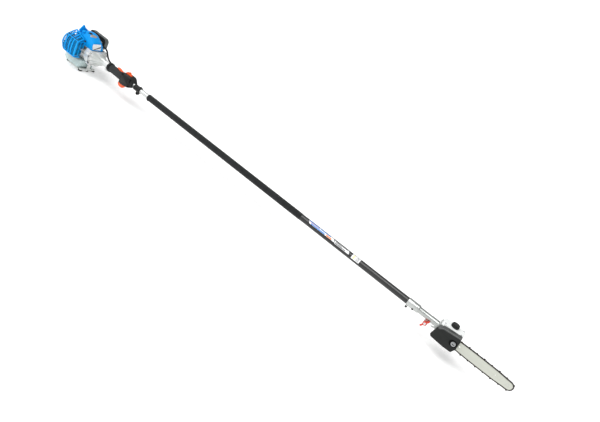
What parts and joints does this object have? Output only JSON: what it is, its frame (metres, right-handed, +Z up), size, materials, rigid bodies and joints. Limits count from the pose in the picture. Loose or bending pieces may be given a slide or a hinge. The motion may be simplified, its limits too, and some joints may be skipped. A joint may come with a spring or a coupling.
{
  "type": "telescoping pole saw",
  "caption": "Petrol pole saw: a small engine drives a chain saw head through a long two-tube telescoping pole with a trigger handle and a harness eye.",
  "frame": {"origin": "centre of the harness eye, the cross bore in the lug under the black collar behind the outer tube", "axes": "+X along the pole from the engine to the saw, +Y along the eye's bore to the user's left, +Z up"},
  "size_m": [3.04, 0.216, 0.249],
  "materials": {
    "cast_aluminium": "bead-blasted die casting",
    "clamp_aluminium": "satin casting",
    "tube_aluminium": "drawn tube, satin",
    "blue_plastic": "moulded, semi-gloss",
    "black_plastic": "fine moulded grain",
    "grey_plastic": "moulded, satin",
    "orange_plastic": "moulded, semi-gloss",
    "red_plastic": "moulded, semi-gloss",
    "tank_plastic": "translucent",
    "oil_tank_plastic": "translucent white",
    "white_plastic": "moulded nylon",
    "grip_rubber": "ribbed",
    "cable_rubber": "smooth sheath",
    "sleeve_foam": "closed-cell foam",
    "filter_foam": "open-cell foam",
    "tube_black": "gloss black",
    "bright_steel": "zinc-plated",
    "machine_steel": "ground",
    "muffler_steel": "heat-tinted sheet",
    "iron": "as cast",
    "shoe_lining": "sintered",
    "piston_aluminium": "machined",
    "plug_ceramic": "glazed ceramic and steel",
    "bar_steel": "painted warm grey",
    "chain_steel": "dark oiled steel",
    "rope": "braided"
  },
  "bodies": {
    "powerhead": {"crankcase_front": "cast_aluminium", "crankcase_rear": "cast_aluminium", "clutch_housing": "cast_aluminium", "m5_screws": "bright_steel", "crank_bearings": "machine_steel", "cylinder": "cast_aluminium", "spark_plug": "plug_ceramic", "plug_boot": "grip_rubber", "ignition_coil": "black_plastic", "muffler": "muffler_steel", "muffler_guard": "blue_plastic", "top_cover": "blue_plastic", "starter_housing": "black_plastic", "carburettor": "cast_aluminium", "air_filter_base": "black_plastic", "air_filter_element": "filter_foam", "air_filter_cover": "grey_plastic", "fuel_tank": "tank_plastic", "tank_stand": "black_plastic", "engine_tube": "tube_aluminium", "throttle_cable": "cable_rubber", "handle_shell_left": "black_plastic", "handle_shell_right": "black_plastic", "rubber_grip": "grip_rubber", "handle_pins": "bright_steel", "harness_collar": "black_plastic", "tube_adapter": "tube_aluminium", "outer_tube": "tube_black", "soft_sleeve": "sleeve_foam", "tube_clamp": "clamp_aluminium", "shaft_bushes": "white_plastic"},
    "saw_head": {"inner_tube": "tube_aluminium", "gear_case": "clamp_aluminium", "oil_tank": "oil_tank_plastic", "sprocket_cover": "black_plastic", "bar_nut": "bright_steel", "guide_bar": "bar_steel", "saw_chain": "chain_steel"},
    "fuel_cap": {"fuel_cap": "black_plastic"},
    "trigger": {"throttle_trigger": "orange_plastic"},
    "lockout": {"throttle_lockout": "orange_plastic"},
    "stop_switch": {"stop_switch": "orange_plastic"},
    "choke_lever": {"choke_lever": "black_plastic"},
    "primer_bulb": {"primer_bulb": "orange_plastic"},
    "starter_handle": {"starter_handle": "black_plastic", "starter_rope": "rope"},
    "starter_pulley": {"starter_pulley": "white_plastic"},
    "crankshaft": {"crankshaft": "machine_steel", "flywheel": "iron", "clutch_shoes": "shoe_lining"},
    "piston": {"piston": "piston_aluminium", "connecting_rod": "machine_steel"},
    "drive_shaft": {"clutch_drum": "machine_steel", "drive_shaft": "machine_steel"},
    "inner_shaft": {"inner_shaft": "machine_steel"},
    "sprocket": {"bevel_gear": "machine_steel", "drive_sprocket": "machine_steel"},
    "lock_pin": {"lock_pin": "black_plastic"},
    "wing_knob": {"wing_knob": "red_plastic"},
    "oil_cap": {"oil_cap": "black_plastic"}
  },
  "joints": [
    {"name": "telescope", "type": "slide", "parent": "powerhead", "child": "saw_head", "axis": [1, 0, 0], "range_m": [0, 1.2]},
    {"name": "wing_knob_turn", "type": "hinge", "parent": "powerhead", "child": "wing_knob", "pos_m": [2.02, 0, -0.004], "axis": [0, 1, 0], "continuous": true},
    {"name": "lock_pin_pull", "type": "slide", "parent": "powerhead", "child": "lock_pin", "axis": [0, 0, -1], "range_m": [0, 0.008], "stiffness_N_per_m": 600, "springref_m": -0.004},
    {"name": "trigger_pull", "type": "hinge", "parent": "powerhead", "child": "trigger", "pos_m": [-0.1, 0, 0.001], "axis": [0, 1, 0], "range_deg": [0, 10], "stiffness_Nm_per_rad": 0.5, "springref_deg": -28.65},
    {"name": "lockout_press", "type": "hinge", "parent": "powerhead", "child": "lockout", "pos_m": [-0.147, 0, 0.045], "axis": [0, -1, 0], "range_deg": [0, 6], "stiffness_Nm_per_rad": 0.3, "springref_deg": -17.19},
    {"name": "stop_switch_slide", "type": "slide", "parent": "powerhead", "child": "stop_switch", "axis": [1, 0, 0], "range_m": [0, 0.008]},
    {"name": "choke_turn", "type": "hinge", "parent": "powerhead", "child": "choke_lever", "pos_m": [-0.436, 0.0708, 0.037], "axis": [0, 1, 0], "range_deg": [0, 70]},
    {"name": "primer_press", "type": "slide", "parent": "powerhead", "child": "primer_bulb", "axis": [0, 0, 1], "range_m": [0, 0.005], "stiffness_N_per_m": 800, "springref_m": -0.001},
    {"name": "fuel_cap_turn", "type": "hinge", "parent": "powerhead", "child": "fuel_cap", "pos_m": [-0.5, 0.07, -0.053], "axis": [0, 1, 0], "continuous": true},
    {"name": "oil_cap_turn", "type": "hinge", "parent": "saw_head", "child": "oil_cap", "pos_m": [2.132, 0, 0.075], "axis": [0, 0, 1], "continuous": true},
    {"name": "starter_pull", "type": "slide", "parent": "powerhead", "child": "starter_handle", "axis": [0, 1, 0], "range_m": [0, 0.6], "stiffness_N_per_m": 20, "springref_m": -0.4},
    {"name": "starter_pulley_spin", "type": "hinge", "parent": "powerhead", "child": "starter_pulley", "pos_m": [-0.516, 0, 0.025], "axis": [1, 0, 0], "range_deg": [-2, 1380]},
    {"name": "crank_spin", "type": "hinge", "parent": "powerhead", "child": "crankshaft", "pos_m": [-0.455, 0, 0.025], "axis": [1, 0, 0], "continuous": true},
    {"name": "piston_stroke", "type": "slide", "parent": "powerhead", "child": "piston", "axis": [0, 0, 1], "range_m": [-0.028, 0]},
    {"name": "drive_spin", "type": "hinge", "parent": "powerhead", "child": "drive_shaft", "pos_m": [0, 0, 0.025], "axis": [1, 0, 0], "continuous": true},
    {"name": "inner_shaft_spin", "type": "hinge", "parent": "saw_head", "child": "inner_shaft", "pos_m": [2.08, 0, 0.025], "axis": [1, 0, 0], "continuous": true},
    {"name": "sprocket_spin", "type": "hinge", "parent": "saw_head", "child": "sprocket", "pos_m": [2.122, -0.048, 0.025], "axis": [0, 1, 0], "continuous": true}
  ],
  "couplings": [
    {"joint": "starter_pulley_spin", "follows": "starter_pull", "rad_per_m": 40},
    {"joint": "inner_shaft_spin", "follows": "drive_spin", "ratio": 1},
    {"joint": "sprocket_spin", "follows": "drive_spin", "ratio": -0.66667}
  ]
}
